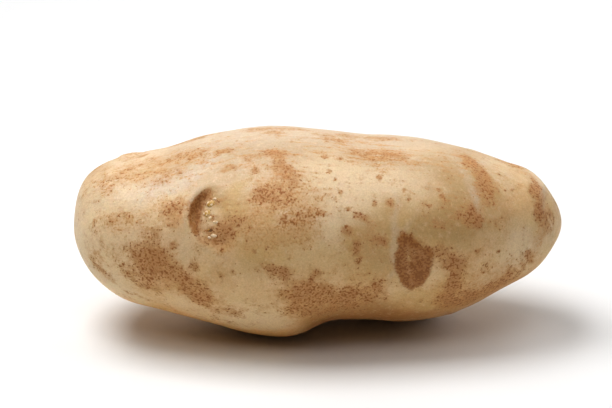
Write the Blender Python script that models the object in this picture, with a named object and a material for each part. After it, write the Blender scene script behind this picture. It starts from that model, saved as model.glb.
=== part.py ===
"""One large, long potato, whole and unpeeled, lying on its belly.

The potato is a single solid. It is a long oval whose cross-section changes from
end to end, with a full belly that rests on the table, a second low spot behind
it, a row of shallow eyes that winds round it, and the scar where it grew on its
stem.

Frame: +X runs along the potato from its stem end to its bud end, +Y points to its
back, +Z is up, and the origin is on the table under its middle. The dimensions
below are in millimetres and degrees. An angle round the potato is 0 at the front,
90 on top, 180 at the back and -90 underneath.
"""

import math

import bmesh
import bpy
import numpy as np

METRES_PER_MM = 0.001

LENGTH = 140.0
HALF_LENGTH = LENGTH / 2
HALF_DEPTH = 33.0
HALF_HEIGHT = 29.5
AXIS_HEIGHT = 32.0

# How square the cross-section is: 2 is an ellipse, and more is fuller.
SECTION_FULLNESS = 2.15

# Half sizes of the cross-section at stations along X. Each is what the half size
# would be at mid length, so a column of equal numbers is a plain ellipsoid.
#    x      crown  belly  front  back
SECTIONS = (
    (-70.0, 49.5, 33.3, 50.0, 46.0),
    (-65.0, 39.1, 36.5, 43.0, 42.0),
    (-58.0, 31.8, 36.1, 38.5, 38.0),
    (-46.0, 26.9, 32.5, 34.5, 33.5),
    (-32.0, 27.5, 31.5, 33.3, 32.5),
    (-20.0, 27.4, 33.0, 33.0, 32.5),
    (-10.0, 26.9, 33.0, 32.7, 32.5),
    (0.0, 26.1, 28.5, 31.5, 32.0),
    (12.0, 24.9, 27.2, 30.5, 31.7),
    (26.0, 25.5, 29.8, 31.0, 31.5),
    (40.0, 26.0, 30.5, 31.5, 31.5),
    (54.0, 26.8, 27.4, 31.0, 31.0),
    (64.0, 29.6, 27.1, 31.0, 31.0),
    (70.0, 24.0, 23.5, 25.0, 25.0),
)

# Broad swellings and dips: x, angle, reach along, reach round, height.
SWELLINGS = (
    (24.0, -116.0, 20.0, 12.0, 6.1),
    (20.0, -142.0, 26.0, 18.0, 3.0),
    (-4.0, -58.0, 5.0, 9.0, 0.7),
    (4.0, -62.0, 5.0, 12.0, -0.6),
    (-21.0, 36.0, 7.0, 6.0, -0.5),
    (22.0, 86.0, 14.0, 12.0, -0.4),
    (-36.0, -150.0, 14.0, 12.0, 0.8),
    (10.0, 165.0, 12.0, 14.0, -0.7),
)

# Eyes: x, angle, reach along, reach round, hollow depth, brow height, twist.
EYES = (
    (-30.0, 27.0, 5.0, 9.0, 1.6, 0.6, 0.0),
    (25.5, -1.0, 5.0, 8.5, 0.5, 0.3, 0.0),
    (44.0, 56.0, 4.5, 9.0, 0.4, 0.3, -20.0),
    (63.0, 38.0, 4.0, 6.5, 0.6, 0.3, -10.0),
    (58.0, -18.0, 3.0, 4.5, 0.4, 0.3, 0.0),
    (-53.0, 108.0, 4.0, 6.0, 0.6, 0.8, 0.0),
    (3.0, 142.0, 5.0, 8.5, 1.5, 0.7, 10.0),
    (-44.0, -164.0, 4.5, 8.0, 1.4, 0.7, 0.0),
    (-30.0, -118.0, 4.5, 8.0, 1.2, 0.6, 0.0),
    (20.0, 178.0, 5.0, 8.0, 1.3, 0.7, 0.0),
    (42.0, -72.0, 4.5, 7.5, 1.2, 0.6, 10.0),
    (46.0, 140.0, 4.5, 7.5, 1.3, 0.6, 0.0),
    (53.0, -150.0, 4.0, 6.0, 1.2, 0.6, 0.0),
    (65.0, -130.0, 3.0, 4.5, 1.0, 0.5, 0.0),
)

# The brow of an eye is a ridge just outside its hollow, on the stem side.
BROW_PLACE = 1.15
BROW_WIDTH = 0.3
HOLLOW_SHIFT = 0.3
HOLLOW_TIGHTNESS = 1.6

# The stem scar is a round dimple with a low rim.
SCAR_X = -68.5
SCAR_ANGLE = 170.0
SCAR_RADIUS = 3.5
SCAR_DEPTH = 1.0
SCAR_RIM = 0.4
SCAR_RIM_WIDTH = 0.35

# Relief is laid on the near side of the potato only, and fades out at this depth.
FADE_DEPTH = 24.0
FADE_LENGTH = 5.0

RINGS = 84
POINTS_PER_RING = 48

SKIN_COLOUR = (0.52, 0.37, 0.19, 1.0)
SKIN_ROUGHNESS = 0.6


def clear_scene():
    for thing in list(bpy.data.objects):
        bpy.data.objects.remove(thing, do_unlink=True)


def curve_through(x, stations, values):
    """The smooth curve through the given points: a cubic between each two, whose
    slope at a point is the mean of the slopes on its sides, the nearer counting more."""
    gap = np.diff(stations)
    rise = np.diff(values) / gap
    slope = np.empty_like(values)
    slope[0] = rise[0]
    slope[-1] = rise[-1]
    slope[1:-1] = (rise[:-1] * gap[1:] + rise[1:] * gap[:-1]) / (gap[1:] + gap[:-1])
    start = np.clip(np.searchsorted(stations, x) - 1, 0, len(stations) - 2)
    width = gap[start]
    t = (x - stations[start]) / width
    return (
        (1 + 2 * t) * (1 - t) ** 2 * values[start]
        + t * (1 - t) ** 2 * width * slope[start]
        + t**2 * (3 - 2 * t) * values[start + 1]
        + t**2 * (t - 1) * width * slope[start + 1]
    )


def plain_surface(sweep, angle):
    """Points of the potato without its relief. `sweep` runs from 0 at the stem end to
    pi at the bud end, with x = -HALF_LENGTH cos(sweep), and `angle` goes round."""
    table = np.array(SECTIONS)
    x = -HALF_LENGTH * np.cos(sweep) + 0 * angle
    closing = np.sin(sweep)
    crown, belly, front, back = (
        curve_through(x, table[:, 0], table[:, column]) * closing
        for column in (1, 2, 3, 4)
    )
    forward = np.cos(angle)
    upward = np.sin(angle)
    fullness = (
        np.abs(forward) ** SECTION_FULLNESS + np.abs(upward) ** SECTION_FULLNESS
    ) ** (-1 / SECTION_FULLNESS)
    half_depth = back + (front - back) * (0.5 + 0.5 * forward)
    half_height = belly + (crown - belly) * (0.5 + 0.5 * upward)
    y = -half_depth * forward * fullness
    z = AXIS_HEIGHT + half_height * upward * fullness
    return np.stack([x, y, z], axis=-1)


def outward(points):
    """Unit vectors out of the ellipsoid that the potato is close to."""
    from_axis = points - np.array([0.0, 0.0, AXIS_HEIGHT])
    out = from_axis / np.array([HALF_LENGTH, HALF_DEPTH, HALF_HEIGHT]) ** 2
    return out / np.linalg.norm(out, axis=-1, keepdims=True)


def laid_out(points, x, angle, twist):
    """Distances of points from a place on the skin, along the potato and round it, and
    a weight that is 1 near the place and 0 on the far side. `twist` turns the two
    directions, in degrees."""
    sweep = np.array(math.acos(-x / HALF_LENGTH))
    centre = plain_surface(sweep, np.array(math.radians(angle)))
    out = outward(centre)
    around = np.cross(out, [1.0, 0.0, 0.0])
    around /= np.linalg.norm(around)
    along = np.cross(around, out)
    offset = points - centre
    turn = math.radians(twist)
    first = offset @ along
    second = offset @ around
    return (
        first * math.cos(turn) + second * math.sin(turn),
        second * math.cos(turn) - first * math.sin(turn),
        0.5 + 0.5 * np.tanh((offset @ out + FADE_DEPTH) / FADE_LENGTH),
    )


def swelling_lift(points, x, angle, reach_along, reach_round, height):
    along, around, near = laid_out(points, x, angle, 0.0)
    lift = height * np.exp(-((along / reach_along) ** 2) - (around / reach_round) ** 2)
    return lift * near


def eye_lift(points, x, angle, reach_along, reach_round, depth, brow, twist):
    """A crescent-shaped brow on the stem side, and a hollow that lies close to it."""
    along, around, near = laid_out(points, x, angle, twist)
    along = along / reach_along
    around = around / reach_round
    distance = np.maximum(np.hypot(along, around), 1e-6)
    stem_side = 0.5 - 0.5 * along / distance
    ridge = np.exp(-(((distance - BROW_PLACE) / BROW_WIDTH) ** 2))
    hollow = np.exp(
        -HOLLOW_TIGHTNESS * ((along + HOLLOW_SHIFT) ** 2 + around**2)
    )
    return (brow * stem_side**2 * ridge - depth * hollow) * near


def scar_lift(points):
    along, around, near = laid_out(points, SCAR_X, SCAR_ANGLE, 0.0)
    distance = np.hypot(along, around) / SCAR_RADIUS
    rim = np.exp(-(((distance - 1) / SCAR_RIM_WIDTH) ** 2))
    return (SCAR_RIM * rim - SCAR_DEPTH * np.exp(-2 * distance**2)) * near


def potato_surface(sweep, angle):
    """Points of the finished skin, with nothing below the table."""
    points = plain_surface(sweep, angle)
    lift = scar_lift(points)
    for swelling in SWELLINGS:
        lift = lift + swelling_lift(points, *swelling)
    for eye in EYES:
        lift = lift + eye_lift(points, *eye)
    points = points + outward(points) * lift[..., np.newaxis]
    points[..., 2] = np.maximum(points[..., 2], 0.0)
    return points * METRES_PER_MM


def skin_material():
    material = bpy.data.materials.new("potato_skin")
    material.use_nodes = True
    shader = material.node_tree.nodes["Principled BSDF"]
    shader.inputs["Base Color"].default_value = SKIN_COLOUR
    shader.inputs["Roughness"].default_value = SKIN_ROUGHNESS
    shader.inputs["Metallic"].default_value = 0.0
    return material


def add_ring(mesh, points):
    return [mesh.verts.new(point) for point in points.tolist()]


def join_rings(mesh, first, second):
    count = len(first)
    for index in range(count):
        following = (index + 1) % count
        mesh.faces.new((first[index], first[following], second[following], second[index]))


def close_end(mesh, ring, tip, at_stem):
    count = len(ring)
    for index in range(count):
        following = (index + 1) % count
        pair = (ring[following], ring[index]) if at_stem else (ring[index], ring[following])
        mesh.faces.new((*pair, tip))


def build_potato():
    """Rings of points from end to end, joined to each other and to a point at each end."""
    sweep = np.linspace(0.0, math.pi, RINGS + 1)[:, np.newaxis]
    angle = np.linspace(0.0, 2 * math.pi, POINTS_PER_RING, endpoint=False)[np.newaxis, :]
    grid = potato_surface(sweep, angle)
    mesh = bmesh.new()
    stem_tip = mesh.verts.new(grid[0, 0].tolist())
    rings = [add_ring(mesh, row) for row in grid[1:-1]]
    bud_tip = mesh.verts.new(grid[-1, 0].tolist())
    for first, second in zip(rings, rings[1:]):
        join_rings(mesh, first, second)
    close_end(mesh, rings[0], stem_tip, at_stem=True)
    close_end(mesh, rings[-1], bud_tip, at_stem=False)
    bmesh.ops.recalc_face_normals(mesh, faces=mesh.faces)
    data = bpy.data.meshes.new("potato")
    mesh.to_mesh(data)
    mesh.free()
    data.shade_smooth()
    data.materials.append(skin_material())
    potato = bpy.data.objects.new("potato", data)
    bpy.context.scene.collection.objects.link(potato)


clear_scene()
build_potato()
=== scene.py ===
"""The looks of one large, long potato: its skin, its eyes and the studio round it.

The skin is one closed surface worked out from the same rule as the solid that it
replaces, with finer relief laid on it. Lengths are in millimetres and angles in
degrees until a mesh is made; the meshes are in metres. An angle round the potato
is 0 at the front, 90 on top, 180 at the back and -90 underneath.
"""

import math

import bpy
import numpy as np
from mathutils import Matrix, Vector


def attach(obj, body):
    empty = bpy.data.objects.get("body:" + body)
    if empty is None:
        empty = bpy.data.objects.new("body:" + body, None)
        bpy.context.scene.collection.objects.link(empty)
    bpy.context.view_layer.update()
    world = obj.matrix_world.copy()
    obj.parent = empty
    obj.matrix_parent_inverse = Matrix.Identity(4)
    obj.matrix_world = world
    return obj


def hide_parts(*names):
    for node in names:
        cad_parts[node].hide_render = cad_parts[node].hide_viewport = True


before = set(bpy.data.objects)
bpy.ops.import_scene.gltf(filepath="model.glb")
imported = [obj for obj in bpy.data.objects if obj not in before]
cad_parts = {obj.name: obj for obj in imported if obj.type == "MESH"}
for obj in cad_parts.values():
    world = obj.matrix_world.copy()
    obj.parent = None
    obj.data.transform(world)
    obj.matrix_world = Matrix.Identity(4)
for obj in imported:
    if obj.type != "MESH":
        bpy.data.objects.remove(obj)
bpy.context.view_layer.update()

METRES_PER_MM = 0.001
MM_PER_METRE = 1000.0

HALF_LENGTH = 70.0
HALF_DEPTH = 33.0
HALF_HEIGHT = 29.5
AXIS_HEIGHT = 32.0
SECTION_FULLNESS = 2.15

#    x      crown  belly  front  back
SECTIONS = (
    (-70.0, 49.5, 33.3, 50.0, 46.0),
    (-65.0, 39.1, 36.5, 43.0, 42.0),
    (-58.0, 31.8, 36.1, 38.5, 38.0),
    (-46.0, 26.9, 32.5, 34.5, 33.5),
    (-32.0, 27.5, 31.5, 33.3, 32.5),
    (-20.0, 27.4, 33.0, 33.0, 32.5),
    (-10.0, 26.9, 33.0, 32.7, 32.5),
    (0.0, 26.1, 28.5, 31.5, 32.0),
    (12.0, 24.9, 27.2, 30.5, 31.7),
    (26.0, 25.5, 29.8, 31.0, 31.5),
    (40.0, 26.0, 30.5, 31.5, 31.5),
    (54.0, 26.8, 27.4, 31.0, 31.0),
    (64.0, 29.6, 27.1, 31.0, 31.0),
    (70.0, 24.0, 23.5, 25.0, 25.0),
)

# Broad swellings and dips: x, angle, reach along, reach round, height.
SWELLINGS = (
    (24.0, -116.0, 20.0, 12.0, 6.1),
    (20.0, -142.0, 26.0, 18.0, 3.0),
    (-4.0, -58.0, 5.0, 9.0, 0.7),
    (4.0, -62.0, 5.0, 12.0, -0.6),
    (-21.0, 36.0, 7.0, 6.0, -0.5),
    (22.0, 86.0, 14.0, 12.0, -0.4),
    (-36.0, -150.0, 14.0, 12.0, 0.8),
    (10.0, 165.0, 12.0, 14.0, -0.7),
)

# Eyes: x and angle of the middle of the brow's circle, its radius, how far round it
# the brow goes (in degrees each way), hollow depth, brow height, twist.
EYES = (
    (-26.6, 27.0, 9.2, 80.0, 1.4, 0.5, 20.0),
    (34.0, 0.0, 12.5, 42.0, 0.35, 0.25, 0.0),
    (54.0, 50.0, 12.0, 48.0, 0.15, 0.2, -12.0),
    (67.0, 34.0, 7.5, 58.0, 0.35, 0.2, -8.0),
    (61.5, -19.0, 5.0, 62.0, 0.2, 0.2, 0.0),
    (-49.0, 106.0, 6.5, 60.0, 0.45, 0.7, 0.0),
    (8.0, 142.0, 8.5, 62.0, 1.6, 0.7, 10.0),
    (-39.0, -164.0, 8.0, 62.0, 1.5, 0.7, 0.0),
    (-25.0, -118.0, 8.0, 60.0, 1.2, 0.6, 0.0),
    (25.0, 178.0, 8.5, 58.0, 1.4, 0.7, 0.0),
    (44.0, -84.0, 7.0, 60.0, 0.9, 0.3, 10.0),
    (50.0, 140.0, 7.5, 62.0, 1.4, 0.6, 0.0),
    (56.5, -150.0, 6.5, 62.0, 1.2, 0.6, 0.0),
    (66.0, -130.0, 4.5, 62.0, 1.0, 0.5, 0.0),
)

# Patches of russet, and one of painted shade: x, angle, half length, half width, twist,
# strength.
PATCHES = (
    (-47.0, -6.0, 6.5, 5.0, 0.0, 1.0),
    (-45.5, 3.0, 4.0, 2.6, 20.0, 0.75),
    (-39.5, -11.0, 3.6, 3.4, 0.0, 0.8),
    (-35.0, -22.5, 7.8, 3.9, -38.0, 0.9),
    (-48.5, -22.0, 7.0, 3.2, -15.0, 0.75),
    (-61.0, -20.0, 6.0, 3.0, -45.0, 0.5),
    (-60.5, 23.5, 3.6, 2.2, -10.0, 0.2),
    (-55.5, 26.5, 3.6, 2.4, 0.0, 0.25),
    (-50.5, 25.5, 3.0, 2.0, 0.0, 0.25),
    (-30.4, 39.5, 2.4, 1.2, 20.0, 0.5),
    (-28.8, 35.6, 1.7, 1.3, -20.0, 0.9),
    (-30.2, 28.4, 1.4, 1.1, 0.0, 0.7),
    (-28.4, 26.0, 0.8, 0.7, 0.0, 0.7),
    # This patch is painted shade in a small hole in the first eye.
    (-29.2, 18.9, 1.3, 0.9, 0.0, 0.9),
    (-59.0, -28.0, 6.0, 1.2, -30.0, 0.5),
    (-50.0, -40.0, 7.0, 1.0, -12.0, 0.45),
    (-60.5, 7.0, 1.4, 3.6, 0.0, 0.4),
    (-46.0, 16.0, 3.4, 2.4, -30.0, 0.55),
    (-39.5, 31.0, 4.6, 3.6, 30.0, 0.7),
    (-24.5, 18.0, 5.0, 3.6, 30.0, 0.8),
    (-12.7, 38.0, 7.2, 3.2, 0.0, 0.65),
    (-4.0, 29.0, 3.6, 3.0, -20.0, 0.3),
    (-8.8, 52.0, 5.4, 2.8, -45.0, 0.95),
    (-13.4, 66.0, 8.0, 2.2, 0.0, 0.75),
    (-24.4, 56.0, 2.0, 1.6, 0.0, 0.8),
    (-28.0, 72.0, 5.0, 1.4, 0.0, 0.5),
    (-11.5, 92.0, 3.6, 4.0, 0.0, 0.45),
    (-11.3, -4.0, 4.4, 2.3, -15.0, 0.95),
    (-4.5, -20.0, 6.4, 6.4, -20.0, 0.9),
    (8.0, -25.0, 5.4, 4.4, 0.0, 0.95),
    (14.5, -24.0, 4.6, 3.0, -15.0, 0.7),
    (2.0, -23.0, 3.0, 4.0, 0.0, 0.8),
    (-5.5, -32.0, 3.6, 3.4, 0.0, 0.55),
    (1.0, -36.0, 5.5, 4.5, 0.0, 0.75),
    (9.0, -36.0, 6.0, 4.0, 0.0, 0.75),
    (-24.0, -34.0, 4.0, 2.2, 0.0, 0.65),
    (5.0, 90.0, 5.0, 5.0, 0.0, 0.5),
    (15.0, 73.0, 6.4, 4.8, 0.0, 0.6),
    (22.5, 73.0, 2.4, 3.4, 0.0, 0.45),
    (42.0, 28.0, 3.6, 3.0, -25.0, 0.95),
    (43.0, 78.0, 2.0, 4.4, 12.0, 0.95),
    (44.6, 66.0, 3.0, 4.6, 14.0, 0.95),
    (46.3, 54.0, 3.4, 4.8, 12.0, 0.75),
    (32.6, 3.5, 3.2, 2.0, 0.0, 0.9),
    (34.3, 22.0, 3.4, 2.0, 0.0, 0.6),
    (51.5, 24.0, 2.6, 2.6, 0.0, 0.55),
    (37.0, -3.0, 4.2, 3.2, 0.0, 1.0),
    (37.0, -24.0, 2.8, 8.0, -8.0, 1.0),
    (40.5, -18.0, 2.4, 2.6, 0.0, 0.35),
    (35.0, -34.0, 3.0, 4.0, 0.0, 0.6),
    (42.5, -41.0, 7.5, 3.8, 4.0, 1.0),
    (50.5, -38.0, 5.5, 3.2, 6.0, 0.85),
    (55.0, -34.0, 2.5, 3.0, 20.0, 0.7),
    (53.0, -28.0, 1.5, 3.4, -20.0, 0.75),
    (61.4, 60.0, 1.6, 4.4, 4.0, 0.8),
    (61.6, 38.0, 1.7, 3.6, 6.0, 0.7),
    (63.2, 25.0, 1.6, 3.6, 20.0, 0.7),
    (65.2, 29.0, 2.2, 4.0, 8.0, 1.0),
    (59.3, -15.0, 1.6, 2.4, 10.0, 0.95),
    (57.1, -25.0, 1.3, 2.6, 10.0, 0.85),
    (56.8, 4.0, 0.7, 5.5, 0.0, 0.45),
    (17.2, 10.5, 2.7, 1.9, -10.0, 1.0),
    (11.3, 28.0, 1.8, 1.4, 0.0, 0.95),
    (8.1, 20.0, 1.3, 1.6, 0.0, 0.9),
    (10.1, 9.0, 1.5, 1.9, 0.0, 1.0),
    (10.3, 1.0, 1.3, 2.6, 0.0, 0.85),
    (-0.6, -8.0, 1.8, 1.2, 0.0, 0.7),
    (16.7, -17.0, 3.2, 2.8, 0.0, 0.6),
    (-42.0, 61.0, 11.0, 3.4, 8.0, 0.35),
    (-58.5, 66.0, 6.5, 5.0, 0.0, 0.35),
    (-52.0, 99.0, 3.0, 2.4, 0.0, 0.8),
    (-14.0, 101.0, 12.0, 3.0, 0.0, 0.6),
    (14.0, 100.0, 12.0, 3.0, 0.0, 0.6),
    (-37.0, 76.0, 10.0, 2.6, 0.0, 0.4),
)

# Thin washes of light russet round the patches: the same numbers.
WASHES = (
    (-11.0, 25.0, 12.0, 9.0, -10.0, 0.85),
    (-8.0, 45.0, 12.0, 9.0, -30.0, 0.51),
    (-45.0, -8.0, 10.0, 8.0, 0.0, 0.51),
    (-34.0, -24.0, 13.0, 6.0, -35.0, 0.51),
    (0.0, -22.0, 15.0, 8.0, 0.0, 0.58),
    (18.0, 74.0, 16.0, 7.0, 0.0, 0.65),
    (-45.0, 72.0, 20.0, 8.0, 5.0, 0.6),
    (44.0, -26.0, 10.0, 9.0, 15.0, 0.65),
    (44.0, -38.0, 8.0, 4.0, 0.0, 0.8),
    (40.0, 30.0, 7.0, 5.0, 0.0, 0.43),
    (-22.0, 15.0, 8.0, 5.0, 20.0, 0.58),
    (-42.0, 30.0, 9.0, 5.0, 20.0, 0.43),
    (13.0, 5.0, 6.0, 9.0, 0.0, 0.36),
    (46.0, 60.0, 5.0, 12.0, 19.0, 0.6),
    (-55.5, 25.5, 8.0, 3.5, 0.0, 0.6),
    (36.0, -28.0, 9.0, 4.5, -5.0, 0.8),
    (62.8, 42.0, 3.2, 12.0, 8.0, 1.0),
    (-58.0, 60.0, 8.0, 6.0, 0.0, 0.2),
    (-27.0, 12.0, 3.0, 3.0, 0.0, 0.5),
)

# Freckles that stand alone: x, angle, radius.
FRECKLES = (
    (29.8, 46.0, 0.7),
    (33.2, 45.0, 0.9),
    (33.6, 41.0, 0.8),
    (30.2, 34.0, 0.6),
    (24.6, 38.0, 0.7),
    (19.3, 36.0, 1.2),
    (15.1, 35.0, 1.0),
    (5.9, 42.0, 0.8),
    (4.5, 50.0, 0.7),
    (3.0, 55.0, 0.8),
    (7.9, 32.0, 0.7),
    (23.2, 44.0, 0.6),
    (23.4, 70.0, 0.9),
    (51.9, 52.0, 0.6),
    (53.8, 53.0, 0.6),
    (43.6, 2.0, 0.8),
    (49.7, -1.0, 0.6),
    (1.6, 66.0, 1.2),
    (6.2, 66.0, 0.7),
    (16.5, 53.0, 0.9),
    (11.0, -16.0, 0.7),
    (28.4, -31.0, 0.9),
    (-26.7, -8.0, 1.1),
    (-23.5, -6.0, 1.0),
    (-34.1, -4.0, 1.6),
    (-39.5, 9.0, 1.5),
    (-17.4, 7.0, 0.8),
    (-8.1, 3.0, 0.6),
    (-3.0, 14.0, 0.6),
    (-9.8, 25.0, 1.2),
    (-17.2, 54.0, 1.1),
)

# Brown eyes with straight sides: x and angle of the middle, then for each side the
# direction that it faces and its distance from the middle.
BROWN_EYES = (
    (26.1, -2.0, ((172, 5.5), (193, 5.6), (228, 7.8), (318, 6.4), (344, 6.5), (50, 7.0))),
)

# The hearts of the brown eyes, where the skin shows through: x, angle, half length, half
# width, twist, strength.
EYE_HEARTS = (
    (24.4, -2.5, 2.4, 4.6, 0.0, 0.25),
)

# Areas rubbed to a pale, pinkish grey: the same numbers.
SCUFFS = (
    (-45.0, 50.0, 8.0, 4.6, 15.0, 0.95),
    (-58.0, 55.0, 6.0, 6.0, 0.0, 0.5),
    (-38.0, 56.0, 8.5, 3.6, 26.0, 0.95),
    (-30.0, 65.0, 4.5, 2.4, 35.0, 0.9),
    (-33.5, 40.0, 2.4, 4.5, 0.0, 0.6),
    (-67.0, 8.0, 8.0, 13.0, 0.0, 0.12),
    (-37.5, 8.0, 4.5, 5.0, 0.0, 0.3),
    (-33.0, 27.0, 1.6, 5.0, 0.0, 0.4),
    (20.3, 14.0, 1.3, 13.0, 0.0, 0.5),
    (40.6, 62.0, 1.5, 12.0, 14.0, 0.5),
    (43.6, 38.0, 1.4, 4.0, 10.0, 0.6),
    (58.5, -1.0, 5.0, 8.0, 0.0, 0.3),
    (46.0, -28.0, 10.0, 5.0, 25.0, 0.35),
    (-20.0, 60.0, 3.0, 3.0, 0.0, 0.4),
    (-58.0, -34.0, 10.0, 5.0, 0.0, 0.4),
)

# Deeper olive areas, paler areas and clearer, yellower areas: the same numbers. The paler
# areas are partly paler skin and partly painted light where the skin catches more light, on
# the front, the top and the left end.
DEEP_AREAS = (
    (22.0, 29.0, 9.0, 5.0, 0.0, 0.5),
    (33.0, 34.0, 9.0, 5.0, 0.0, 0.3),
    (44.9, 62.0, 3.4, 10.0, 14.0, 0.95),
    (41.5, 74.0, 3.0, 5.0, 0.0, 0.6),
    (62.5, 42.0, 2.8, 12.0, 8.0, 0.8),
    (36.0, 46.0, 5.0, 5.0, 0.0, 0.5),
    (-29.0, 39.0, 4.0, 3.0, 0.0, 0.7),
    (37.0, 53.0, 5.0, 4.5, 0.0, 0.5),
    (35.0, 22.0, 12.0, 6.0, 0.0, 0.9),
    (42.0, 46.0, 7.0, 6.0, 0.0, 0.7),
    (13.0, 15.0, 7.0, 9.0, 0.0, 0.45),
    (20.0, 4.0, 4.0, 8.0, 0.0, 0.45),
    (50.0, 22.0, 6.0, 6.0, 0.0, 0.3),
    (-22.0, 33.0, 5.0, 6.0, 0.0, 0.25),
    (66.0, -8.0, 4.0, 6.0, 0.0, 0.5),
    (51.0, 66.0, 4.0, 6.0, 0.0, 0.35),
    (-29.0, 48.0, 8.0, 3.5, 15.0, 0.35),
    (36.0, 77.0, 8.0, 7.0, 0.0, 0.5),
    (8.0, -38.0, 12.0, 5.0, 0.0, 0.5),
    (-18.0, -1.0, 8.0, 4.0, 0.0, 0.25),
)
PALE_AND_PAINTED_LIGHT_AREAS = (
    (2.0, 52.0, 9.0, 9.0, 0.0, 0.9),
    (16.0, 50.0, 12.0, 7.0, 0.0, 0.8),
    (3.0, 26.0, 5.0, 6.0, 0.0, 0.95),
    (-30.5, 22.0, 3.0, 5.0, 0.0, 0.7),
    (-32.0, 61.5, 5.0, 0.6, 34.0, 0.6),
    (-35.0, 55.0, 4.0, 0.6, 26.0, 0.7),
    (-56.0, 14.0, 9.0, 12.0, 0.0, 0.45),
    (-58.0, 44.0, 8.0, 7.0, 0.0, 0.5),
    (-58.0, -8.0, 10.0, 12.0, 0.0, 0.8),
    (-66.0, 8.0, 6.0, 14.0, 0.0, 0.8),
    (-45.0, 16.0, 8.0, 6.0, 0.0, 0.45),
    (-17.0, -38.0, 11.0, 7.0, 0.0, 0.95),
    (-33.0, -40.0, 12.0, 5.0, -15.0, 0.6),
    (-2.0, 6.0, 9.0, 5.0, 0.0, 0.35),
    (57.0, -6.0, 6.0, 8.0, 0.0, 0.95),
    (28.0, 40.0, 6.0, 4.0, 0.0, 0.5),
    (10.0, 31.0, 6.0, 5.0, 0.0, 0.9),
    (2.0, 24.0, 6.0, 6.0, 0.0, 0.9),
    (31.0, 82.0, 8.0, 5.0, 0.0, 0.5),
    (-19.0, -42.0, 10.0, 4.0, 0.0, 0.5),
    (-8.0, 26.0, 3.0, 3.0, 0.0, 0.8),
    (65.0, 10.0, 4.0, 5.0, 0.0, 0.7),
    (-17.0, 37.0, 4.0, 4.0, 0.0, 0.25),
    (-62.5, 25.0, 5.0, 6.0, 0.0, 0.95),
    (-67.0, 50.0, 5.0, 8.0, 0.0, 0.7),
    (-54.0, -43.0, 9.0, 4.0, 0.0, 0.8),
    (-30.0, -18.0, 4.0, 3.0, 0.0, 0.5),
)
YELLOW_AREAS = (
    (-22.8, 35.0, 4.0, 5.0, 0.0, 0.9),
    (-14.0, 5.0, 9.0, 5.0, 0.0, 0.5),
    (2.0, 6.0, 9.0, 9.0, 0.0, 0.4),
    (30.0, 20.0, 14.0, 7.0, 0.0, 0.7),
    (12.0, -2.0, 9.0, 9.0, 0.0, 0.5),
    (30.0, -32.0, 9.0, 5.0, 0.0, 0.7),
    (66.0, 25.0, 5.0, 12.0, 0.0, 0.5),
    (-52.0, 2.0, 8.0, 6.0, 0.0, 0.4),
    (-14.0, 14.0, 9.0, 5.0, 0.0, 0.5),
    (-5.0, 4.0, 9.0, 6.0, 0.0, 0.6),
    (58.0, 15.0, 5.0, 6.0, 0.0, 0.5),
    (37.0, -26.0, 7.0, 5.0, 0.0, 0.4),
)

SKIN_RINGS = 290
SKIN_ROUND = 336


def curve_through(x, stations, values):
    """The smooth curve through the given points: a cubic between each two, whose
    slope at a point is the mean of the slopes on its sides, the nearer counting more."""
    gap = np.diff(stations)
    rise = np.diff(values) / gap
    slope = np.empty_like(values)
    slope[0] = rise[0]
    slope[-1] = rise[-1]
    slope[1:-1] = (rise[:-1] * gap[1:] + rise[1:] * gap[:-1]) / (gap[1:] + gap[:-1])
    start = np.clip(np.searchsorted(stations, x) - 1, 0, len(stations) - 2)
    width = gap[start]
    t = (x - stations[start]) / width
    return (
        (1 + 2 * t) * (1 - t) ** 2 * values[start]
        + t * (1 - t) ** 2 * width * slope[start]
        + t**2 * (3 - 2 * t) * values[start + 1]
        + t**2 * (t - 1) * width * slope[start + 1]
    )


def plain_surface(sweep, angle):
    """The potato without relief: x = -HALF_LENGTH cos(sweep), and round it an oval
    whose four half sizes run smoothly through SECTIONS, times sin(sweep)."""
    table = np.array(SECTIONS)
    x = -HALF_LENGTH * np.cos(sweep) + 0 * angle
    closing = np.sin(sweep)
    crown, belly, front, back = (
        curve_through(x, table[:, 0], table[:, column]) * closing
        for column in (1, 2, 3, 4)
    )
    forward = np.cos(angle)
    upward = np.sin(angle)
    fullness = (
        np.abs(forward) ** SECTION_FULLNESS + np.abs(upward) ** SECTION_FULLNESS
    ) ** (-1 / SECTION_FULLNESS)
    half_depth = back + (front - back) * (0.5 + 0.5 * forward)
    half_height = belly + (crown - belly) * (0.5 + 0.5 * upward)
    y = -half_depth * forward * fullness
    z = AXIS_HEIGHT + half_height * upward * fullness
    return np.stack([x, y, z], axis=-1)


def outward(points):
    """Unit vectors out of the ellipsoid that the potato is close to."""
    from_axis = points - np.array([0.0, 0.0, AXIS_HEIGHT])
    out = from_axis / np.array([HALF_LENGTH, HALF_DEPTH, HALF_HEIGHT]) ** 2
    return out / np.linalg.norm(out, axis=-1, keepdims=True)


FADE_DEPTH = 24.0
FADE_LENGTH = 5.0


def laid_out(points, x, angle, twist):
    """Distances of points from a place on the skin, along the potato and round it, and
    a weight that is 1 near the place and 0 on the far side."""
    sweep = np.array(math.acos(-x / HALF_LENGTH))
    centre = plain_surface(sweep, np.array(math.radians(angle)))
    out = outward(centre)
    around = np.cross(out, [1.0, 0.0, 0.0])
    around /= np.linalg.norm(around)
    along = np.cross(around, out)
    offset = points - centre
    turn = math.radians(twist)
    first = offset @ along
    second = offset @ around
    return (
        first * math.cos(turn) + second * math.sin(turn),
        second * math.cos(turn) - first * math.sin(turn),
        0.5 + 0.5 * np.tanh((offset @ out + FADE_DEPTH) / FADE_LENGTH),
    )


def ramp(value, low, high):
    """0 below low, 1 above high, and a smooth step between."""
    t = np.clip((value - low) / (high - low), 0.0, 1.0)
    return t * t * (3 - 2 * t)


LATTICE = 48


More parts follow.
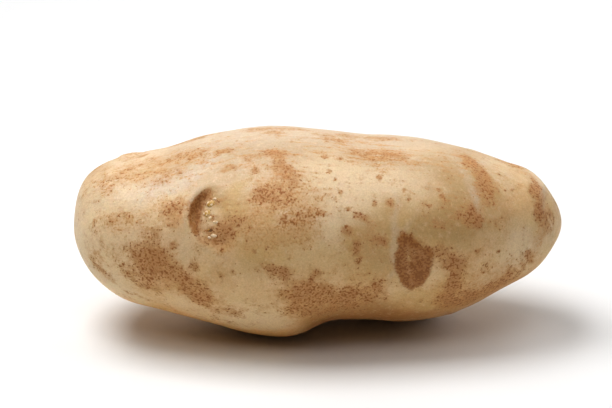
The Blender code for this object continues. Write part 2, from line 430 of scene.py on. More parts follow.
def lumps(points, size, seed):
    """Smooth random values from -1 to 1: every corner of a lattice of cells `size`
    wide has a random value, and the eight round a point are blended by smooth steps."""
    values = np.random.default_rng(seed).uniform(-1.0, 1.0, (LATTICE,) * 3)
    place = points / size
    corner = np.floor(place).astype(int)
    step = place - corner
    step = step * step * (3 - 2 * step)
    total = 0.0
    for bits in np.ndindex(2, 2, 2):
        index = (corner + np.array(bits)) % LATTICE
        weight = np.prod(np.where(np.array(bits) == 1, step, 1 - step), axis=-1)
        total = total + weight * values[index[..., 0], index[..., 1], index[..., 2]]
    return total


def waver(points, height, size, seed):
    """Smooth random values from -height to height, on lumps of a size."""
    return height * lumps(points, size, seed)


# A brow fades out from BROW_FADE degrees before its end to as far past it. Its lower part
# has LOWER_SHARE of the strength, and gives way to the upper part between two heights in
# shares of the radius.
BROW_FADE = 24.0
LOWER_SHARE = 0.5
LOWER_TO_UPPER = (-0.5, 0.3)


def eye_parts(points, x, angle, radius, spread, twist):
    """Where points lie in an eye: the distance outside the brow's circle, and a weight
    for the circle's stem side: 1 on its upper part, less on its lower part, and fading
    out round both ends."""
    along, around, near = laid_out(points, x, angle, twist)
    edge = np.cos(np.radians([spread + BROW_FADE, spread - BROW_FADE]))
    facing = ramp(-along / radius, edge[0], edge[1])
    upper = ramp(around / radius, *LOWER_TO_UPPER)
    lean = LOWER_SHARE + (1 - LOWER_SHARE) * upper
    return np.hypot(along, around) - radius, facing * lean * near


# The ridge lies RIDGE_OUTSIDE outside the circle. The step starts just outside the circle
# and ends inside it, and the floor is deepest DEEPEST_INSIDE inside it. The ridge's width,
# the step's end and the floor's length are shares of the radius.
RIDGE_OUTSIDE = 0.9
RIDGE_WIDTH = 0.2
STEP_START = -0.4
STEP_END = 0.24
DEEPEST_INSIDE = 1.9
FLOOR_LENGTH = 0.75


def eye_lift(points, x, angle, radius, spread, depth, brow, twist):
    """A ridge just outside the stem side of a circle, and inside it a steep step down
    to a hollow that rises gently towards the bud end."""
    outside, facing = eye_parts(points, x, angle, radius, spread, twist)
    ridge = np.exp(-(((outside - RIDGE_OUTSIDE) / (RIDGE_WIDTH * radius)) ** 2))
    past = np.minimum(outside + DEEPEST_INSIDE, 0.0) / (FLOOR_LENGTH * radius)
    floor = ramp(-outside, STEP_START, STEP_END * radius) * np.exp(-(past**2))
    return (brow * ridge - depth * floor) * facing


SCAR_X = -68.5
SCAR_ANGLE = 170.0
SCAR_RADIUS = 3.5
SCAR_DEPTH = 1.0
SCAR_RIM = 0.4
SCAR_RIM_WIDTH = 0.35
SCAR_STEEPNESS = 2.0


def scar_lift(points):
    """A round dimple with a low rim where the stem was."""
    along, around, near = laid_out(points, SCAR_X, SCAR_ANGLE, 0.0)
    distance = np.hypot(along, around) / SCAR_RADIUS
    rim = np.exp(-(((distance - 1) / SCAR_RIM_WIDTH) ** 2))
    dimple = np.exp(-SCAR_STEEPNESS * distance**2)
    return (SCAR_RIM * rim - SCAR_DEPTH * dimple) * near


# Random unevenness of the skin: height and size of the lumps, and their seed.
UNEVENNESS = ((0.22, 13.0, 11), (0.09, 5.0, 12))
SETTLING = 0.3


def skin_points(sweep, angle):
    """The plain surface moved outwards by swellings, eyes, the stem scar and two
    sizes of random unevenness, then eased onto the table where it would go below."""
    points = plain_surface(sweep, angle)
    lift = scar_lift(points)
    for x, place, reach_along, reach_round, height in SWELLINGS:
        along, around, near = laid_out(points, x, place, 0.0)
        lift = lift + near * height * np.exp(
            -((along / reach_along) ** 2) - (around / reach_round) ** 2
        )
    for eye in EYES:
        lift = lift + eye_lift(points, *eye)
    for layer in UNEVENNESS:
        lift = lift + waver(points, *layer)
    points = points + outward(points) * lift[..., np.newaxis]
    above = points[..., 2]
    points[..., 2] = 0.5 * (above + np.sqrt(above**2 + SETTLING**2))
    return points


# Random patches: how many, their seed, and between which values each of their numbers
# lies. The widths are shares of the length.
HIDDEN_PATCHES = 64
HIDDEN_SEED = 23
HIDDEN_PLACES = (-66.0, 66.0)
HIDDEN_ANGLES = (104.0, 292.0)
HIDDEN_LENGTHS = (1.5, 8.0)
HIDDEN_WIDTHS = (0.4, 1.0)
HIDDEN_TWISTS = (-30.0, 30.0)
HIDDEN_STRENGTHS = (0.4, 1.0)


def hidden_patches():
    """Random patches for the top, back and underside, which lie further round than the
    listed patches."""
    rng = np.random.default_rng(HIDDEN_SEED)
    patches = []
    for _ in range(HIDDEN_PATCHES):
        x = rng.uniform(*HIDDEN_PLACES)
        angle = rng.uniform(*HIDDEN_ANGLES)
        length = rng.uniform(*HIDDEN_LENGTHS)
        width = length * rng.uniform(*HIDDEN_WIDTHS)
        twist = rng.uniform(*HIDDEN_TWISTS)
        strength = rng.uniform(*HIDDEN_STRENGTHS)
        patches.append((x, angle, length, width, twist, strength))
    return patches


# An oval is full up to the first share of its half sizes, and gone from the second on.
BLOT_FULL = 0.35
BLOT_GONE = 1.55


def blots(points, areas):
    """The cover of many soft ovals, from 0 to 1: each is full near its middle and fades
    out a little beyond its edge, and they add up as thin washes of paint do."""
    bare = 1.0
    for x, angle, length, width, twist, strength in areas:
        along, around, near = laid_out(points, x, angle, twist)
        distance = np.hypot(along / length, around / width)
        bare = bare * (1 - strength * near * ramp(-distance, -BLOT_GONE, -BLOT_FULL))
    return 1 - bare


BROAD_WANDER = 5.0
FINE_WANDER = 2.0


def wandered(points, amount, seed):
    """The points pushed about at random, to make an outline on them ragged: broad pushes
    and, half as far, fine ones. They use the seeds from seed to seed + 12."""
    pushes = [
        lumps(points, BROAD_WANDER, seed + axis)
        + 0.5 * lumps(points, FINE_WANDER, seed + 10 + axis)
        for axis in range(3)
    ]
    return points + amount * np.stack(pushes, axis=-1)


PATCH_WANDER = 1.3
PATCH_SEED = 30
FRECKLE_FULL = 0.3
FRECKLE_GONE = 1.6


def russet_cover(points):
    """How much russet covers the skin, from 0 to 1: the patches and the freckles."""
    ragged = wandered(points, PATCH_WANDER, PATCH_SEED)
    cover = blots(ragged, (*PATCHES, *hidden_patches()))
    for x, angle, radius in FRECKLES:
        along, around, near = laid_out(points, x, angle, 0.0)
        distance = np.hypot(along, around) / radius
        spot = near * ramp(-distance, -FRECKLE_GONE, -FRECKLE_FULL)
        cover = np.maximum(cover, spot)
    return cover


BROWN_WANDER = 0.9
BROWN_SEED = 60
CORNER_SHARPNESS = 2.0
CROWDING_LIMIT = 20.0
# How far inside the sides the brown starts and is full, and full on the bud side.
BROWN_START = -0.7
BROWN_FULL = 0.8
BROWN_FULL_BUD_SIDE = 3.8
BUD_SIDE = (-1.0, 5.0)
BUD_SIDE_LEAN = 0.6


def brown_eye(points):
    """The cover of the straight-sided brown eyes: inside, the distance to every side is
    positive, and a soft least of them, which rounds the corners, sets the cover. The
    edge is softer on the upper bud side. The hearts are taken off."""
    cover = 0.0
    rough = wandered(points, BROWN_WANDER, BROWN_SEED)
    for x, angle, sides in BROWN_EYES:
        along, around, near = laid_out(rough, x, angle, 0.0)
        crowding = 0.0
        for facing, distance in sides:
            turn = math.radians(facing)
            reach = along * math.cos(turn) + around * math.sin(turn)
            past = CORNER_SHARPNESS * (reach - distance)
            crowding = crowding + np.exp(np.clip(past, -CROWDING_LIMIT, CROWDING_LIMIT))
        inside = -np.log(crowding) / CORNER_SHARPNESS
        bud_side = ramp(along + BUD_SIDE_LEAN * around, *BUD_SIDE)
        full = BROWN_FULL + (BROWN_FULL_BUD_SIDE - BROWN_FULL) * bud_side
        cover = np.maximum(cover, near * ramp(inside, BROWN_START, full))
    return cover * (1 - blots(rough, EYE_HEARTS))


SHADE_SHARE = 0.18
SHADE_LEAST = 0.5
SHADE_EDGE = (-0.35, 0.5)
SHADED_DEPTHS = (0.0, 1.0)


def eye_brown_and_painted_shade(points):
    """How brown the skin is in the eyes, from 0 to 1: the straight-sided brown eyes, which are
    the skin's own colour, and inside each brow a band of painted shade, strong where the eye
    is deep and under its upper brow, that fades towards its middle.
    """
    shade = brown_eye(points)
    for x, angle, radius, spread, depth, _, twist in EYES:
        outside, facing = eye_parts(points, x, angle, radius, spread, twist)
        # A band of painted shade inside the brow, heaviest where the eye is deepest and under
        # its upper part.
        band = SHADE_SHARE * radius + SHADE_LEAST
        inner = np.exp(-((np.minimum(outside + band, 0.0) / band) ** 2))
        strength = ramp(depth, *SHADED_DEPTHS) * facing
        shade = np.maximum(shade, strength * ramp(-outside, *SHADE_EDGE) * inner)
    return shade


SCUFF_SHARE = 0.95
SCUFF_WANDER = 1.6
SCUFF_SEED = 80
BROW_RUB_AND_HIGHLIGHT = 0.45
BROW_HIGHLIGHT_WIDTH = 0.8


def rubbed_and_ridge_highlight(points):
    """How pale the skin is, from 0 to 1: rubbed over the scuffed areas, and along the crests
    of the raised brows both rubbed and painted highlight."""
    worn_and_highlit = SCUFF_SHARE * blots(wandered(points, SCUFF_WANDER, SCUFF_SEED), SCUFFS)
    for x, angle, radius, spread, _, _, twist in EYES:
        outside, facing = eye_parts(points, x, angle, radius, spread, twist)
        # Along each brow's crest the pale is partly painted highlight.
        ridge = np.exp(-(((outside - RIDGE_OUTSIDE) / BROW_HIGHLIGHT_WIDTH) ** 2))
        worn_and_highlit = np.maximum(worn_and_highlit, facing * BROW_RUB_AND_HIGHLIGHT * ridge)
    return worn_and_highlit


CROWN_HEIGHTS = (44.0, 59.0)
CROWN_WAVER = (2.5, 16.0, 71)


def crown_tone(points):
    """1 along the top, where the skin is a duller pinkish sand, and 0 below it."""
    return ramp(points[..., 2] + waver(points, *CROWN_WAVER), *CROWN_HEIGHTS)


# The skin faces down by 1 where it faces straight down. Where it does so by BELLY_EDGE it is
# painted with gold bounce light, and in the brown half with brown painted shade, for which
# BROWN_REACH less is enough. Each pair says where a change begins and where it is complete. A
# waver is a height, a size and a seed.
BELLY_EDGE = 0.80
BROWN_REACH = 0.16
BELLY_FADE = (-0.17, 0.08)
BELLY_WAVER = (0.05, 14.0, 72)
BROWN_HALF = (-11.0, 4.0)
BROWN_HALF_WAVER = (3.0, 10.0, 73)
GOLDEN_END = (20.0, 36.0)
GOLDEN_END_SHARE = 0.45
STRAIGHT_DOWN = (0.88, 0.99)
STRAIGHT_DOWN_SHARE = 0.8


def belly_glow_and_shade(points):
    """Painted light and shade on the underside, two covers from 0 to 1: golden brown for warm
    light bounced up from below, and darker brown for painted shade on its bud half. Where the
    skin faces down enough it is all painted gold and brown. The brown reaches higher, and it
    gives way to gold towards the bud end and where the skin faces straight down."""
    under = waver(points, *BELLY_WAVER) - outward(points)[..., 2]
    x = points[..., 0] + waver(points, *BROWN_HALF_WAVER)
    bud_half = ramp(x, *BROWN_HALF)
    edge = BELLY_EDGE - BROWN_REACH * bud_half
    cover = ramp(under, edge + BELLY_FADE[0], edge + BELLY_FADE[1])
    bud_end = GOLDEN_END_SHARE * ramp(x, *GOLDEN_END)
    straight_down = STRAIGHT_DOWN_SHARE * ramp(under, *STRAIGHT_DOWN)
    brown_share = bud_half * (1 - bud_end) * (1 - straight_down)
    return cover * (1 - brown_share), cover * brown_share


LOW_FACING = (-0.6, 0.5)


def painted_warm_bounce(points):
    """Where painted warm bounce light tints the skin: 0 where the skin faces up and 1 where it
    faces down, with a broad step between.
    """
    return ramp(-outward(points)[..., 2], *LOW_FACING)


AREA_WANDER = 2.2


def soft_areas(points, areas, seed):
    """The cover of ovals whose outline wanders further than that of the patches."""
    return blots(wandered(points, AREA_WANDER, seed), areas)


def closed_faces(rings, around, first_number):
    """Triangles and quads over rings of points: the first and the last ring are each
    one point, and the last point of a ring joins its first."""
    number = first_number + 1 + np.arange((rings - 2) * around).reshape(rings - 2, around)
    following = np.roll(number, -1, axis=1)
    quads = np.stack(
        [number[:-1], number[1:], following[1:], following[:-1]], axis=-1
    ).reshape(-1, 4)
    start = np.full(around, first_number)
    end = np.full(around, first_number + 1 + (rings - 2) * around)
    first = np.stack([start, number[0], following[0]], axis=-1)
    last = np.stack([end, following[-1], number[-1]], axis=-1)
    return [*first.tolist(), *quads.tolist(), *last.tolist()]


def one_value_a_vertex(grid):
    """A grid's values in the order of its vertices, with one for each end."""
    return np.concatenate([grid[:1, 0], grid[1:-1].reshape(-1, *grid.shape[2:]), grid[-1:, 0]])


def closed_grids(name, grids):
    """One smooth mesh of closed bodies, each from a grid of points in millimetres."""
    vertices = []
    faces = []
    for grid in grids:
        faces += closed_faces(*grid.shape[:2], sum(len(part) for part in vertices))
        vertices.append(one_value_a_vertex(grid) * METRES_PER_MM)
    mesh = bpy.data.meshes.new(name)
    mesh.from_pydata(np.concatenate(vertices).tolist(), [], faces)
    mesh.shade_smooth()
    return mesh


def add_attribute(mesh, name, *grids):
    """One value for each vertex of the mesh, from a grid for each closed body."""
    attribute = mesh.attributes.new(name, "FLOAT", "POINT")
    values = np.concatenate([one_value_a_vertex(grid) for grid in grids])
    attribute.data.foreach_set("value", values.astype(np.float32))


def add_bake_map(mesh, sweep, turns):
    """A map with the length of the potato across and the way round it up. The seam and
    the two ends get their own corners, so no face runs back across the map."""
    numbers = np.empty(len(mesh.loops), np.int32)
    mesh.loops.foreach_get("vertex_index", numbers)
    around = len(turns)
    ring = np.where(numbers == 0, 0, (numbers - 1) // around + 1)
    column = np.where(ring == 0, 0, (numbers - 1) % around)
    last = len(sweep) - 1
    starts = np.empty(len(mesh.polygons), np.int32)
    totals = np.empty(len(mesh.polygons), np.int32)
    mesh.polygons.foreach_get("loop_start", starts)
    mesh.polygons.foreach_get("loop_total", totals)
    face = np.repeat(np.arange(len(starts)), totals)
    place = column / around
    inner = (ring > 0) & (ring < last)
    lowest = np.full(len(starts), 2.0)
    highest = np.full(len(starts), -1.0)
    np.minimum.at(lowest, face[inner], place[inner])
    np.maximum.at(highest, face[inner], place[inner])
    wraps = (highest - lowest > 0.5)[face]
    place = np.where(wraps & (place < 0.5), place + 1.0, place)
    middle = np.where(highest - lowest > 0.5, 1.0 - 0.5 / around, 0.5 * (lowest + highest))
    place = np.where(inner, place, middle[face])
    bake = mesh.uv_layers.new(name="OFBake")
    across = (1 - np.cos(sweep))[ring] / 2
    bake.data.foreach_set("uv", np.stack([across, place], axis=-1).astype(np.float32).ravel())


RING_CROWDING = 0.1
WASH_SEED = 110
DEEP_SEED = 120
PALE_SEED = 130
YELLOW_SEED = 140


def make_skin():
    """The whole skin, with its rings a little closer together at the two ends than a
    plain sweep would put them."""
    t = np.linspace(0.0, 1.0, SKIN_RINGS + 1)[:, np.newaxis]
    sweep = math.pi * t + RING_CROWDING * np.sin(2 * math.pi * t)
    sweep[-1] = math.pi
    angle = np.linspace(0.0, 2 * math.pi, SKIN_ROUND, endpoint=False)[np.newaxis, :]
    points = skin_points(sweep, angle)
    mesh = closed_grids("potato_skin", [points])
    add_attribute(mesh, "russet", russet_cover(points))
    add_attribute(mesh, "eye_brown_and_painted_shade", eye_brown_and_painted_shade(points))
    add_attribute(mesh, "rubbed_and_ridge_highlight", rubbed_and_ridge_highlight(points))
    add_attribute(mesh, "wash", soft_areas(points, WASHES, WASH_SEED))
    add_attribute(mesh, "deep", soft_areas(points, DEEP_AREAS, DEEP_SEED))
    # The pale attribute is partly paler skin and partly painted light.
    add_attribute(mesh, "pale", soft_areas(points, PALE_AND_PAINTED_LIGHT_AREAS, PALE_SEED))
    add_attribute(mesh, "yellow", soft_areas(points, YELLOW_AREAS, YELLOW_SEED))
    add_attribute(mesh, "crown", crown_tone(points))
    # The low attribute carries the painted warm bounce light.
    add_attribute(mesh, "low", painted_warm_bounce(points))
    # Painted bounce light and painted shade on the underside.
    gold, brown = belly_glow_and_shade(points)
    add_attribute(mesh, "painted_bounce_glow", gold)
    add_attribute(mesh, "painted_underside_shade", brown)
    add_bake_map(mesh, sweep[:, 0], angle[0])
    skin = bpy.data.objects.new("potato_skin", mesh)
    bpy.context.scene.collection.objects.link(skin)
    mesh.materials.append(skin_material())
    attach(skin, "root")
    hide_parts("potato")


class Nodes:
    """Short ways to add nodes to one material."""

    def __init__(self, name):
        self.material = bpy.data.materials.new(name)
        self.material.use_nodes = True
        self.tree = self.material.node_tree
        self.shader = self.tree.nodes["Principled BSDF"]
        place = self.tree.nodes.new("ShaderNodeTexCoord")
        self.object_place = place.outputs["Object"]

    def put(self, node, socket, value):
        """Links another node's output to a socket, or sets the socket's own value."""
        if isinstance(value, bpy.types.NodeSocket):
            self.tree.links.new(value, node.inputs[socket])
        else:
            node.inputs[socket].default_value = value

    def noise(self, size_mm, detail=2.0, roughness=0.5):
        """Soft random values near 0.5, with features about size_mm across."""
        node = self.tree.nodes.new("ShaderNodeTexNoise")
        self.put(node, "Vector", self.object_place)
        node.inputs["Scale"].default_value = MM_PER_METRE / size_mm
        node.inputs["Detail"].default_value = detail
        node.inputs["Roughness"].default_value = roughness
        return node.outputs["Fac"]

    def streaks(self, length_mm, width_mm):
        """Noise stretched along the potato."""
        place = self.tree.nodes.new("ShaderNodeMapping")
        self.put(place, "Vector", self.object_place)
        across = MM_PER_METRE / width_mm
        place.inputs["Scale"].default_value = (MM_PER_METRE / length_mm, across, across)
        node = self.tree.nodes.new("ShaderNodeTexNoise")
        self.put(node, "Vector", place.outputs["Vector"])
        node.inputs["Scale"].default_value = 1.0
        node.inputs["Detail"].default_value = 3.0
        return node.outputs["Fac"]

    def shaken_place(self, size_mm, amount_mm):
        """Object coordinates pushed about by noise, so that round spots on them come
        out uneven."""
        noise = self.tree.nodes.new("ShaderNodeTexNoise")
        self.put(noise, "Vector", self.object_place)
        noise.inputs["Scale"].default_value = MM_PER_METRE / size_mm
        noise.inputs["Detail"].default_value = 1.0
        push = self.tree.nodes.new("ShaderNodeVectorMath")
        push.operation = "MULTIPLY_ADD"
        self.put(push, 0, noise.outputs["Color"])
        push.inputs[1].default_value = (amount_mm / MM_PER_METRE,) * 3
        self.put(push, 2, self.object_place)
        return push.outputs["Vector"]

    def cells(self, size_mm, place):
        """Distance to the nearest of scattered points, in cells, and two random values
        that belong to that point."""
        node = self.tree.nodes.new("ShaderNodeTexVoronoi")
        self.put(node, "Vector", place)
        node.inputs["Scale"].default_value = MM_PER_METRE / size_mm
        split = self.tree.nodes.new("ShaderNodeSeparateColor")
        self.put(split, "Color", node.outputs["Color"])
        return node.outputs["Distance"], split.outputs["Red"], split.outputs["Green"]

    def attribute(self, name):
        """A value that the mesh carries at each vertex."""
        node = self.tree.nodes.new("ShaderNodeAttribute")
        node.attribute_name = name
        return node.outputs["Fac"]

    def maths(self, operation, first, second=0.0, third=0.0):
        """A sum on up to three values: MULTIPLY_ADD gives first * second + third."""
        node = self.tree.nodes.new("ShaderNodeMath")
        node.operation = operation
        self.put(node, 0, first)
        self.put(node, 1, second)
        self.put(node, 2, third)
        return node.outputs["Value"]

    def ramp(self, value, low, high, start=0.0, end=1.0):
        """A smooth step from start to end as value goes from low to high."""
        node = self.tree.nodes.new("ShaderNodeMapRange")
        node.interpolation_type = "SMOOTHSTEP"
        self.put(node, "Value", value)
        self.put(node, "From Min", low)
        self.put(node, "From Max", high)
        self.put(node, "To Min", start)
        self.put(node, "To Max", end)
        return node.outputs["Result"]

    def mix(self, share, first, second, blend="MIX"):
        """The first colour where share is 0 and the blend with the second where it is 1."""
        node = self.tree.nodes.new("ShaderNodeMix")
        node.data_type = "RGBA"
        node.blend_type = blend
        self.put(node, "Factor", share)
        self.put(node, 6, first)
        self.put(node, 7, second)
        return node.outputs[2]


CREAM = (0.78, 0.58, 0.37, 1.0)
SAND = (0.69, 0.47, 0.255, 1.0)
CROWN_SAND = (0.60, 0.46, 0.32, 1.0)
DEEP_OLIVE = (0.52, 0.35, 0.17, 1.0)
YELLOW_SKIN = (0.68, 0.475, 0.225, 1.0)
# Pale skin, used for the pale flakes and for painted light.
PALE_SKIN_AND_PAINTED_LIGHT = (0.82, 0.65, 0.45, 1.0)
# Painted warm bounce light and painted shade for the underside.
PAINTED_BOUNCE_GOLD = (0.84, 0.49, 0.195, 1.0)
PAINTED_BELLY_SHADE = (0.44, 0.205, 0.062, 1.0)
# Pinkish grey for rubbed skin, and for the painted highlight on the brows' crests.
RUBBED_AND_HIGHLIGHT_GREY = (0.665, 0.54, 0.41, 1.0)
LIGHT_RUSSET = (0.60, 0.34, 0.15, 1.0)
RUSSET = (0.53, 0.29, 0.13, 1.0)
DARK_RUSSET = (0.37, 0.155, 0.05, 1.0)
# Brown for the brown eyes, and for the painted shade in the eyes' hollows.
EYE_BROWN_AND_SHADE = (0.43, 0.20, 0.065, 1.0)
DARK_EYE_BROWN_AND_SHADE = (0.30, 0.12, 0.035, 1.0)
# A warm tint for painted bounce light on the lower skin.
WARM_BOUNCE_TINT = (1.0, 0.985, 0.90, 1.0)
DULL = (0.94, 0.935, 0.92, 1.0)
BRIGHT = (1.06, 1.07, 1.08, 1.0)

# Layers over the clouds of the ground colour, the lowest first: the attribute that says
# where each lies, its strength and its colour.
GROUND_LAYERS = (
    ("crown", 0.9, CROWN_SAND),
    # Painted bounce light and painted shade on the underside.
    ("painted_bounce_glow", 0.75, PAINTED_BOUNCE_GOLD),
    ("painted_underside_shade", 0.92, PAINTED_BELLY_SHADE),
    ("yellow", 1.0, YELLOW_SKIN),
    ("pale", 0.85, PALE_SKIN_AND_PAINTED_LIGHT),
    ("deep", 0.9, DEEP_OLIVE),
)

# How large the patterns in the skin are, in millimetres.
CLOUDS = 9.0
WARM_CLOUDS = 4.5
FLAKES = 1.6
RUSSET_CLOUDS = 7.0
FRAYING = 1.2
MOTTLING = 3.4
STREAK_LENGTH = 8.0
STREAK_WIDTH = 1.2
GRAIN = 0.62
POWDER = 0.45
FRECKLE_CELLS = 3.2
FRECKLE_SHAKING = 1.1
FRECKLE_SHIFT = 0.9


def ground_colour(make, mottle):
    """Cream and sand in soft clouds with the ground layers over them, some of them painted
    light and shade, pinkish grey where the skin is rubbed and where a highlight is painted on
    the brows' crests, and small pale flakes over it all."""
    clouds = make.noise(CLOUDS, 3.0, 0.6)
    colour = make.mix(make.ramp(clouds, 0.36, 0.64), SAND, CREAM)
    warm = make.ramp(make.noise(WARM_CLOUDS, 2.0), 0.42, 0.7, 0.0, 0.4)
    colour = make.mix(warm, colour, YELLOW_SKIN)
    for name, strength, layer in GROUND_LAYERS:
        share = make.maths("MULTIPLY", make.attribute(name), strength)
        colour = make.mix(share, colour, layer)
    # Rubbed skin, and the painted highlight on the brows' crests.
    worn_and_highlit = make.ramp(mottle, 0.35, 0.6, 0.65, 1.0)
    worn_and_highlit = make.maths("MULTIPLY", make.attribute("rubbed_and_ridge_highlight"), worn_and_highlit)
    colour = make.mix(worn_and_highlit, colour, RUBBED_AND_HIGHLIGHT_GREY)
    flakes = make.ramp(make.noise(FLAKES, 4.0, 0.7), 0.5, 0.74, 0.0, 0.4)
    return make.mix(flakes, colour, PALE_SKIN_AND_PAINTED_LIGHT)


def russet_amount(make, mottle):
    """How much russet each spot carries: the patches, with broad clouds and two sizes
    of mottling added to fray them."""
    clouds = make.noise(RUSSET_CLOUDS, 2.0)
    fine = make.noise(FRAYING, 3.0, 0.6)
    amount = make.maths("MULTIPLY_ADD", mottle, 2.6, -1.3)
    amount = make.maths("ADD", amount, make.maths("MULTIPLY_ADD", fine, 1.8, -0.9))
    amount = make.maths("ADD", amount, make.maths("MULTIPLY_ADD", clouds, 1.0, -0.5))
    return make.maths("MULTIPLY_ADD", make.attribute("russet"), 1.2, amount)


def stipple(make, grain, amount):
    """Fine spots with soft edges that crowd together as the amount goes from 0 to 1."""
    low = make.maths("MULTIPLY_ADD", amount, -0.23, 0.72)
    return make.ramp(grain, low, make.maths("ADD", low, 0.13))


def freckles(make):
    """Scattered single spots of several sizes: 0 to 1."""
    place = make.shaken_place(FRECKLE_SHAKING, FRECKLE_SHIFT)
    far, odds, weight = make.cells(FRECKLE_CELLS, place)
    spot = make.ramp(far, make.ramp(odds, 0.5, 1.0, 0.08, 0.22), 0.02)
    spot = make.maths("MULTIPLY", spot, make.ramp(odds, 0.5, 0.56))
    return make.maths("MULTIPLY", spot, make.ramp(weight, 0.0, 1.0, 0.2, 0.8))


# The skin's gloss and faint sheen, and the light that spreads inside it, red light the
# furthest. The scale is in metres.
SKIN_SURFACE = {
    "Specular IOR Level": 0.45,
    "Sheen Weight": 0.05,
    "Sheen Roughness": 0.4,
    "Subsurface Weight": 0.2,
    "Subsurface Radius": (1.0, 0.4, 0.15),
    "Subsurface Scale": 0.004,
}
BUMP_STRENGTH = 0.6
BUMP_DEPTH = 0.0002


def skin_material():
    """Russet over the ground colour: a thin light wash with streaks in it, a denser ragged
    wash, a stipple of fine dots and scattered freckles. Inside the brows the eyes get painted
    shade in brown, and the brown eyes keep their own brown. Where the skin faces down it is
    tinted warmer with painted warm light bounced up from below, and a fine powder of duller
    and brighter specks lies over it all."""
    make = Nodes("potato_skin")
    mottle = make.noise(MOTTLING, 5.0, 0.68)
    streak = make.streaks(STREAK_LENGTH, STREAK_WIDTH)
    colour = ground_colour(make, mottle)

    cover = russet_amount(make, mottle)
    crown = make.attribute("crown")
    lined = make.maths("MULTIPLY_ADD", streak, 2.4, -1.2)
    lined = make.maths("MULTIPLY_ADD", make.maths("ADD", crown, 0.4), lined, 0.2)
    thin = make.maths("MULTIPLY_ADD", make.attribute("wash"), 0.9, lined)
    thin = make.maths("MULTIPLY_ADD", cover, 0.5, thin)
    grain = make.noise(GRAIN, 1.0, 0.4)
    light = make.maths("MULTIPLY", stipple(make, grain, thin), 0.5)
    light = make.maths("ADD", light, make.ramp(thin, 0.2, 1.25, 0.0, 0.5))
    colour = make.mix(light, colour, LIGHT_RUSSET)
    colour = make.mix(make.ramp(cover, 0.0, 1.5, 0.0, 0.8), colour, RUSSET)
    amount = make.maths("MULTIPLY_ADD", make.attribute("wash"), 0.4, cover)
    amount = make.maths("SUBTRACT", amount, 0.15)
    amount = make.maths("MINIMUM", amount, 0.88)
    darkness = make.ramp(amount, 0.0, 0.8, 0.4, 0.85)
    dots = make.maths("MULTIPLY", stipple(make, grain, amount), darkness)
    dots = make.maths("MULTIPLY", dots, make.ramp(crown, 0.0, 1.0, 1.0, 0.65))
    colour = make.mix(dots, colour, DARK_RUSSET)
    colour = make.mix(freckles(make), colour, RUSSET)

    # Painted shade in the eyes' hollows and the brown of the brown eyes: a brown wash with
    # darker dots.
    shade = make.maths("MULTIPLY_ADD", make.attribute("eye_brown_and_painted_shade"), 1.45, -1.4)
    shade = make.maths("MULTIPLY_ADD", mottle, 2.4, shade)
    colour = make.mix(make.ramp(shade, 0.0, 1.2, 0.0, 0.95), colour, EYE_BROWN_AND_SHADE)
    inside = make.maths("MULTIPLY", stipple(make, grain, shade), 0.7)
    colour = make.mix(inside, colour, DARK_EYE_BROWN_AND_SHADE)

    # Painted warm bounce light, stronger where the skin faces down.
    colour = make.mix(make.attribute("low"), colour, WARM_BOUNCE_TINT, "MULTIPLY")
    powder = make.noise(POWDER, 3.0, 0.6)
    powdered = make.mix(make.ramp(powder, 0.3, 0.7), DULL, BRIGHT)
    colour = make.mix(1.0, colour, powdered, "MULTIPLY")
    make.put(make.shader, "Base Color", colour)

    make.put(make.shader, "Roughness", make.ramp(cover, 0.1, 0.9, 0.46, 0.66))
    for socket, value in SKIN_SURFACE.items():
        make.shader.inputs[socket].default_value = value

    height = make.maths("MULTIPLY_ADD", dots, 0.4, make.maths("MULTIPLY", powder, 0.3))
    height = make.maths("MULTIPLY_ADD", mottle, 1.0, height)
    height = make.maths("MULTIPLY_ADD", streak, 0.8, height)
    bump = make.tree.nodes.new("ShaderNodeBump")
    bump.inputs["Strength"].default_value = BUMP_STRENGTH
    bump.inputs["Distance"].default_value = BUMP_DEPTH
    make.put(bump, "Height", height)
    make.put(make.shader, "Normal", bump.outputs["Normal"])
    return make.material


# Buds in the first two eyes: x, angle, half length, half width, height, paleness.
BUDS = (
    (-28.9, 35.0, 1.6, 1.1, 0.3, 0.5),
    (-28.3, 37.4, 0.7, 0.4, 0.35, 0.9),
    (-30.2, 28.8, 1.3, 1.0, 0.32, 0.5),
    (-31.4, 29.0, 0.45, 0.5, 0.3, 0.9),
    (-29.4, 26.0, 0.65, 0.6, 0.28, 0.7),
    (-28.0, 23.6, 0.75, 0.45, 0.25, 0.75),
    (-29.2, 19.0, 1.0, 0.6, 0.15, 0.0),
    (-28.6, 15.4, 1.3, 0.55, 0.35, 0.95),
    (-29.8, 14.4, 0.65, 0.45, 0.3, 0.85),
    (24.6, 2.0, 0.8, 0.5, 0.12, 0.4),
    (25.4, -2.6, 0.7, 0.4, 0.12, 0.4),
    (24.2, -6.0, 0.6, 0.5, 0.12, 0.35),
)
FIRST_EYE_WITH_RANDOM_BUDS = 6
BUD_RINGS = 8
BUD_ROUND = 14
BUD_SINK = 0.12
BUD_NARROWING = 0.3
BUD_WAVER = (0.33, 0.6, 150)

# Random buds: how many in an eye, their seed, and between which values their numbers lie.
# Their places are in shares of the eye's radius, on its stem side and up or down.
RANDOM_BUDS = 3
RANDOM_BUD_SEED = 77
ALONG_EYE = (-0.45, -0.05)
ROUND_EYE = (-0.3, 0.3)
BUD_SIZES = (0.45, 0.95)
BUD_PALENESS = (0.2, 0.9)
BUD_WIDTH_SHARE = 0.7
BUD_HEIGHT_SHARE = 0.5
# A millimetre round the potato, about 30 mm from its axis, in degrees.
DEGREES_PER_MM = 57.3 / 30.0


